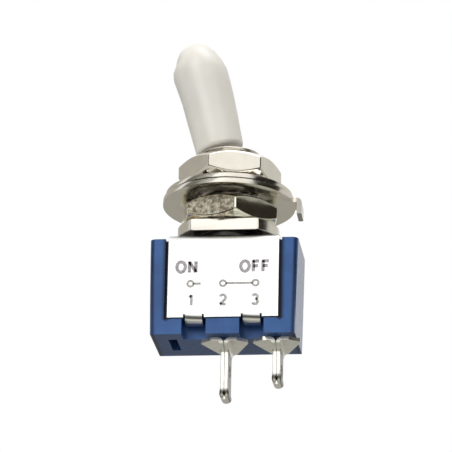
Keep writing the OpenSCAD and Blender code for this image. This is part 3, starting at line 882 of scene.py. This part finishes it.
class Stroke:
    """A printed stroke: a ribbon of one width along a line of points."""

    def __init__(self, points: Outline, closed: bool = False) -> None:
        """Keeps the stroke's middle line, as X and Z in millimetres."""
        self.points = points
        self.closed = closed

    def draw(self, bm: bmesh.types.BMesh, width: float, y: float, thickness: float) -> None:
        """Adds the ribbon as a thin solid plate.

        Args:
            bm: Mesh to add to.
            width: Width of the stroke.
            y: Where the ink's face lies.
            thickness: Thickness of the ink, towards +Y.
        """
        points = self.points
        count = len(points)
        left, right = [], []
        for i, (x, z) in enumerate(points):
            before = points[i - 1] if i > 0 or self.closed else points[i]
            after = points[(i + 1) % count] if i < count - 1 or self.closed else points[i]
            dx, dz = after[0] - before[0], after[1] - before[1]
            length = math.hypot(dx, dz) or 1.0
            nx, nz = -dz / length * width / 2, dx / length * width / 2
            left.append(bm.verts.new((x + nx, y, z + nz)))
            right.append(bm.verts.new((x - nx, y, z - nz)))
        spans = range(count if self.closed else count - 1)
        pairs = [(i, (i + 1) % count) for i in spans]
        faces = [bm.faces.new((left[i], left[k], right[k], right[i])) for i, k in pairs]
        solid = bmesh.ops.extrude_face_region(bm, geom=faces)
        moved = [v for v in solid["geom"] if isinstance(v, bmesh.types.BMVert)]
        bmesh.ops.translate(bm, verts=moved, vec=(0, thickness, 0))


def ring(cx: float, cz: float, rx: float, rz: float, steps: int = 32) -> Outline:
    """Points of an ellipse.

    Args:
        cx: Centre along X.
        cz: Centre along Z.
        rx: Half width.
        rz: Half height.
        steps: Number of points.

    Returns:
        The points, going once round.
    """
    turns = [math.tau * i / steps for i in range(steps)]
    return [(cx + rx * math.cos(t), cz + rz * math.sin(t)) for t in turns]


def glyph(sign: str) -> tuple[float, list[Stroke]]:
    """The strokes of one sign, one unit tall.

    Args:
        sign: One of the signs in the table.

    Returns:
        The sign's width and its strokes.
    """
    bow = [(0.1 + x, z) for x, z in arc_points(0.23, 0.70, 0.26, 160.0, -35.0, 10)]
    table = {
        "O": (0.78, [Stroke(ring(0.39, 0.5, 0.36, 0.46), closed=True)]),
        "N": (0.70, [Stroke([(0.07, 0.0), (0.07, 1.0)]), Stroke([(0.07, 0.97), (0.63, 0.03)]),
                     Stroke([(0.63, 0.0), (0.63, 1.0)])]),
        "F": (0.58, [Stroke([(0.07, 0.0), (0.07, 1.0)]), Stroke([(0.0, 0.93), (0.56, 0.93)]),
                     Stroke([(0.07, 0.5), (0.48, 0.5)])]),
        "1": (0.42, [Stroke([(0.28, 0.0), (0.28, 1.0)]), Stroke([(0.29, 0.95), (0.05, 0.76)])]),
        "2": (0.62, [Stroke(bow + [(0.08, 0.07)]), Stroke([(0.05, 0.07), (0.6, 0.07)])]),
        "3": (0.62, [Stroke(arc_points(0.29, 0.73, 0.22, 160.0, -80.0, 10)),
                     Stroke(arc_points(0.29, 0.28, 0.245, 80.0, -160.0, 12))]),
    }
    return table[sign]


@dataclass
class Legend:
    """The printing on the frame's front: ON, OFF, the terminals' numbers and a contact symbol."""

    face_y: float = -3.462
    thickness: float = 0.012
    letter_h: float = 1.02
    stroke: float = 0.29
    number_h: float = 0.95
    thin: float = 0.24
    gap: float = 0.26
    word_z: float = -7.12
    number_z: float = -10.12
    symbol_z: float = -8.15
    symbol_x: float = 2.85
    dot_r: float = 0.26
    stub_end: float = -1.95

    def word(self, bm: bmesh.types.BMesh, text: str, x: float, z: float, height: float,
             stroke: float) -> None:
        """Prints a word.

        Args:
            bm: Mesh to add to.
            text: The signs.
            x: Left end.
            z: Base line.
            height: Letter height.
            stroke: Stroke width.
        """
        for sign in text:
            width, strokes = glyph(sign)
            for one in strokes:
                line = Stroke([(x + px * height, z + pz * height) for px, pz in one.points], one.closed)
                line.draw(bm, stroke, self.face_y, self.thickness)
            x += width * height + self.gap

    def symbol(self, bm: bmesh.types.BMesh) -> None:
        """Prints three contact dots, the bridge between two of them and the third one's stub.

        Args:
            bm: Mesh to add to.
        """
        z = self.symbol_z
        reach = self.symbol_x - self.dot_r
        lines = [Stroke(ring(x, z, self.dot_r, self.dot_r, 20), closed=True)
                 for x in (-self.symbol_x, 0.0, self.symbol_x)]
        lines.append(Stroke([(self.dot_r, z), (reach, z)]))
        lines.append(Stroke([(-reach, z), (self.stub_end, z)]))
        for line in lines:
            line.draw(bm, self.thin * 0.8, self.face_y, self.thickness)

    def build(self, dark: bpy.types.Material, pale: bpy.types.Material) -> None:
        """Prints the legend.

        Args:
            dark: Ink of the words.
            pale: Thinner ink of the numbers and the symbol.
        """
        bm = bmesh.new()
        for text, x in (("ON", -4.1), ("OFF", 1.5)):
            self.word(bm, text, x, self.word_z, self.letter_h, self.stroke)
        self.place("legend_words", bm, dark)
        bm = bmesh.new()
        for number, x in (("1", -3.0), ("2", -0.3), ("3", 2.55)):
            self.word(bm, number, x, self.number_z, self.number_h, self.thin)
        self.symbol(bm)
        self.place("legend_numbers", bm, pale)

    def place(self, name: str, bm: bmesh.types.BMesh, ink: bpy.types.Material) -> None:
        """Finishes one print and fixes it to the housing."""
        piece = finished(name, bm)
        dress(piece, ink)
        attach(piece, "housing")
        log.info("%s: %d faces", name, len(piece.data.polygons))


@dataclass
class CarriedNode:
    """A CAD node whose form is right: it keeps its mesh and gets softened edges and a finish."""

    node: str
    material: bpy.types.Material
    edge: float = 0.05
    segments: int = 3
    sharp_angle: float = 28.0

    def build(self) -> None:
        """Softens the node's edges with modifiers and dresses it."""
        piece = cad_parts[self.node]
        dress(piece, self.material)
        weld = piece.modifiers.new("weld", "WELD")
        weld.merge_threshold = 0.001 * MM
        flatten = piece.modifiers.new("flatten", "DECIMATE")
        flatten.decimate_type = "DISSOLVE"
        flatten.angle_limit = math.radians(0.5)
        if self.edge > 0:
            bevel = piece.modifiers.new("edges", "BEVEL")
            bevel.width = self.edge * MM
            bevel.segments = self.segments
            bevel.limit_method = "ANGLE"
            bevel.angle_limit = math.radians(self.sharp_angle)
            bevel.harden_normals = True
        log.info("%s: %s", self.node, self.material.name)


@dataclass(frozen=True)
class Card:
    """A flat card beside the switch that only its mirror-like faces see."""

    name: str
    azimuth: float
    elevation: float
    size: tuple[float, float]
    level: float
    tint: Colour = (1.0, 1.0, 1.0)
    distance: float = 120.0
    shades: bool = False

    def build(self) -> None:
        """Builds the card, facing the switch."""
        a, e = math.radians(self.azimuth), math.radians(self.elevation)
        out = Vector((math.sin(a) * math.cos(e), -math.cos(a) * math.cos(e), math.sin(e)))
        bm = bmesh.new()
        bmesh.ops.create_grid(bm, x_segments=1, y_segments=1, size=0.5)
        bmesh.ops.scale(bm, vec=(*self.size, 1.0), verts=bm.verts)
        bmesh.ops.transform(bm, matrix=out.to_track_quat("Z", "Y").to_matrix().to_4x4(), verts=bm.verts)
        bmesh.ops.translate(bm, verts=bm.verts, vec=out * self.distance)
        card = finished(self.name, bm)
        n = Nodes(self.name)
        n.tree.nodes.remove(n.shader)
        glow = n.add("ShaderNodeEmission", Strength=self.level, Color=(*self.tint, 1.0))
        n.link(glow.outputs["Emission"], n.tree.nodes["Material Output"].inputs["Surface"])
        dress(card, n.material)
        card.visible_camera = False
        card.visible_diffuse = card.visible_shadow = self.shades
        card.visible_glossy = not self.shades


CARDS = (
    Card("card_front", 8.0, 22.0, (150.0, 110.0), 1.16, (1.0, 0.985, 0.95)),
    Card("card_right", 76.0, 14.0, (110.0, 150.0), 0.02, (1.0, 0.8, 0.6)),
    Card("card_left", -46.0, 16.0, (120.0, 120.0), 0.20, (1.0, 0.96, 0.84)),
    Card("card_low", 0.0, -40.0, (260.0, 100.0), 0.03, (1.0, 0.8, 0.62)),
    Card("card_below", 0.0, -74.0, (220.0, 60.0), 0.8, (1.0, 1.0, 0.88)),
    Card("card_back_low", 180.0, -22.0, (260.0, 90.0), 0.42, (1.0, 0.97, 0.88)),
    Card("card_back_left", -125.0, 16.0, (150.0, 110.0), 0.50, (1.0, 0.97, 0.88)),
    Card("card_back_right", 128.0, 16.0, (120.0, 110.0), 0.72, (1.0, 0.98, 0.92)),
    Card("card_under", 0.0, -90.0, (420.0, 420.0), 0.17, distance=140.0, shades=True),
)


@dataclass
class Studio:
    """The plain floor, the white surroundings and the lamps."""

    floor_drop: float = 400.0
    floor_size: float = 6000.0

    def build(self) -> None:
        """Builds floor, world, lamps and the cards that metal mirrors."""
        self.world()
        self.floor()
        self.lamp("front_box", (-170, -400, 190), 260.0, 0.95)
        self.lamp("top_box", (120, -60, 480), 300.0, 1.1)
        for card in CARDS:
            card.build()

    def world(self) -> None:
        """White for what the camera and mirrors see, a softer level for light."""
        world = bpy.data.worlds.new("surroundings")
        bpy.context.scene.world = world
        world.use_nodes = True
        tree = world.node_tree
        tree.nodes.clear()
        ray = tree.nodes.new("ShaderNodeLightPath")
        seen = tree.nodes.new("ShaderNodeMath")
        seen.operation = "MAXIMUM"
        tree.links.new(ray.outputs["Is Camera Ray"], seen.inputs[0])
        mirrored = tree.nodes.new("ShaderNodeMath")
        mirrored.operation = "MAXIMUM"
        tree.links.new(ray.outputs["Is Glossy Ray"], mirrored.inputs[0])
        tree.links.new(ray.outputs["Is Transmission Ray"], mirrored.inputs[1])
        tree.links.new(mirrored.outputs[0], seen.inputs[1])
        soft = tree.nodes.new("ShaderNodeBackground")
        soft.inputs["Color"].default_value = (1.0, 0.985, 0.955, 1.0)
        soft.inputs["Strength"].default_value = 0.45
        white = tree.nodes.new("ShaderNodeBackground")
        white.inputs["Color"].default_value = (1.0, 1.0, 1.0, 1.0)
        white.inputs["Strength"].default_value = 1.0
        mix = tree.nodes.new("ShaderNodeMixShader")
        tree.links.new(seen.outputs[0], mix.inputs["Fac"])
        tree.links.new(soft.outputs[0], mix.inputs[1])
        tree.links.new(white.outputs[0], mix.inputs[2])
        out = tree.nodes.new("ShaderNodeOutputWorld")
        tree.links.new(mix.outputs[0], out.inputs["Surface"])

    def floor(self) -> None:
        """A plain pale floor, well below the hanging switch."""
        bm = bmesh.new()
        bmesh.ops.create_grid(bm, x_segments=1, y_segments=1, size=self.floor_size / 2)
        bmesh.ops.translate(bm, verts=bm.verts, vec=(0, 0, -self.floor_drop))
        floor = finished("floor", bm)
        n = Nodes("pale_floor")
        n.shader.inputs["Base Color"].default_value = (0.86, 0.86, 0.86, 1.0)
        n.shader.inputs["Roughness"].default_value = 0.9
        dress(floor, n.material)

    def lamp(self, name: str, place: tuple[float, float, float], size: float, power: float) -> None:
        """Adds a square soft lamp that points at the switch.

        Args:
            name: The lamp's name.
            place: Where it hangs, in millimetres.
            size: Side of the lamp in millimetres.
            power: Power in watts.
        """
        data = bpy.data.lights.new(name, "AREA")
        data.size = size * MM
        data.energy = power
        lamp = bpy.data.objects.new(name, data)
        lamp.location = Vector(place) * MM
        lamp.rotation_euler = (-lamp.location).to_track_quat("-Z", "Y").to_euler()
        bpy.context.scene.collection.objects.link(lamp)


@dataclass
class Viewpoint:
    """The camera: seen from a little below and to the right, through a long lens."""

    azimuth: float = 7.0
    elevation: float = -19.0
    roll: float = 1.2
    distance: float = 300.0
    lens: float = 270.0
    aim: tuple[float, float, float] = (-0.26, 0.0, -1.7)

    def build(self) -> None:
        """Makes the camera and sets it as the scene's."""
        a, e = math.radians(self.azimuth), math.radians(self.elevation)
        back = Vector((math.sin(a) * math.cos(e), -math.cos(a) * math.cos(e), math.sin(e)))
        data = bpy.data.cameras.new("camera")
        data.lens = self.lens
        data.sensor_width = 36.0
        data.clip_start, data.clip_end = 0.01, 20.0
        camera = bpy.data.objects.new("camera", data)
        camera.location = (Vector(self.aim) + back * self.distance) * MM
        turn = (-back).to_track_quat("-Z", "Y").to_matrix() @ Matrix.Rotation(math.radians(self.roll), 3, "Z")
        camera.rotation_euler = turn.to_euler()
        bpy.context.scene.collection.objects.link(camera)
        bpy.context.scene.camera = camera


def main() -> None:
    """Builds the surroundings and every piece in order."""
    logging.basicConfig(level=logging.INFO, format="%(name)s: %(message)s")
    bpy.context.scene.view_settings.view_transform = "Standard"
    Viewpoint().build()
    Studio().build()
    blue = MouldedPlastic().build()
    # The bushing's shade is painted shade in the undercut below the collar.
    ThreadedBushing().build(
        Plating("bushing_plate", (0.74, 0.71, 0.65), 0.2, shade=("Z", -3.12, -3.24, 0.06)).build())
    Legend().build(Ink().build(), Ink("pale_ink", (0.36, 0.35, 0.345)).build())
    nickel = Plating("nickel_plate").build()
    steel = Plating("frame_steel", (0.77, 0.775, 0.76), 0.30, Lay.ALONG_X).build()
    nut = Plating("nut_plate", (0.76, 0.73, 0.66), 0.12).build()
    worn_nut = Plating("worn_nut_plate", (0.92, 0.86, 0.74), 0.16, scuff=0.05).build()
    # The washers' shade is painted shade on the key tab, beyond X 5.85 mm.
    washers = Plating("washer_plate", (0.74, 0.71, 0.64), 0.16, shade=("X", 5.85, 6.2, 0.45)).build()
    silver = Plating("contact_silver", (0.90, 0.88, 0.82), 0.30, wave=0.006).build()
    common_tin = LugPlating("common_tin", 0.0, -17.85).build()
    live_tin = LugPlating("live_tin", 4.55, -16.55).build()
    vinyl = SoftVinyl().build()
    Sleeve().build(vinyl)
    FoldedTerminal("common_terminal", 0.0, 5.2, common_tin).build()
    FoldedTerminal("live_terminal", 4.55, 3.9, live_tin).build()
    for node, material, edge in (
        ("case", blue, 0.1), ("frame", steel, 0.06), ("bushing", nickel, 0.06), ("lever", nickel, 0.0),
        ("lever_cap", vinyl, 0.0), ("plunger", vinyl, 0.0), ("plunger_spring", nickel, 0.0),
        ("rocker", nickel, 0.0), ("moving_contact", silver, 0.0), ("fixed_contact", silver, 0.0),
        ("common_terminal", common_tin, 0.08), ("live_terminal", live_tin, 0.08),
        ("back_nut", worn_nut, 0.12), ("front_nut", nut, 0.12),
        ("keyed_washer", washers, 0.06), ("lock_washer", washers, 0.05),
    ):
        CarriedNode(node, material, edge).build()


if __name__ == "__main__":
    main()
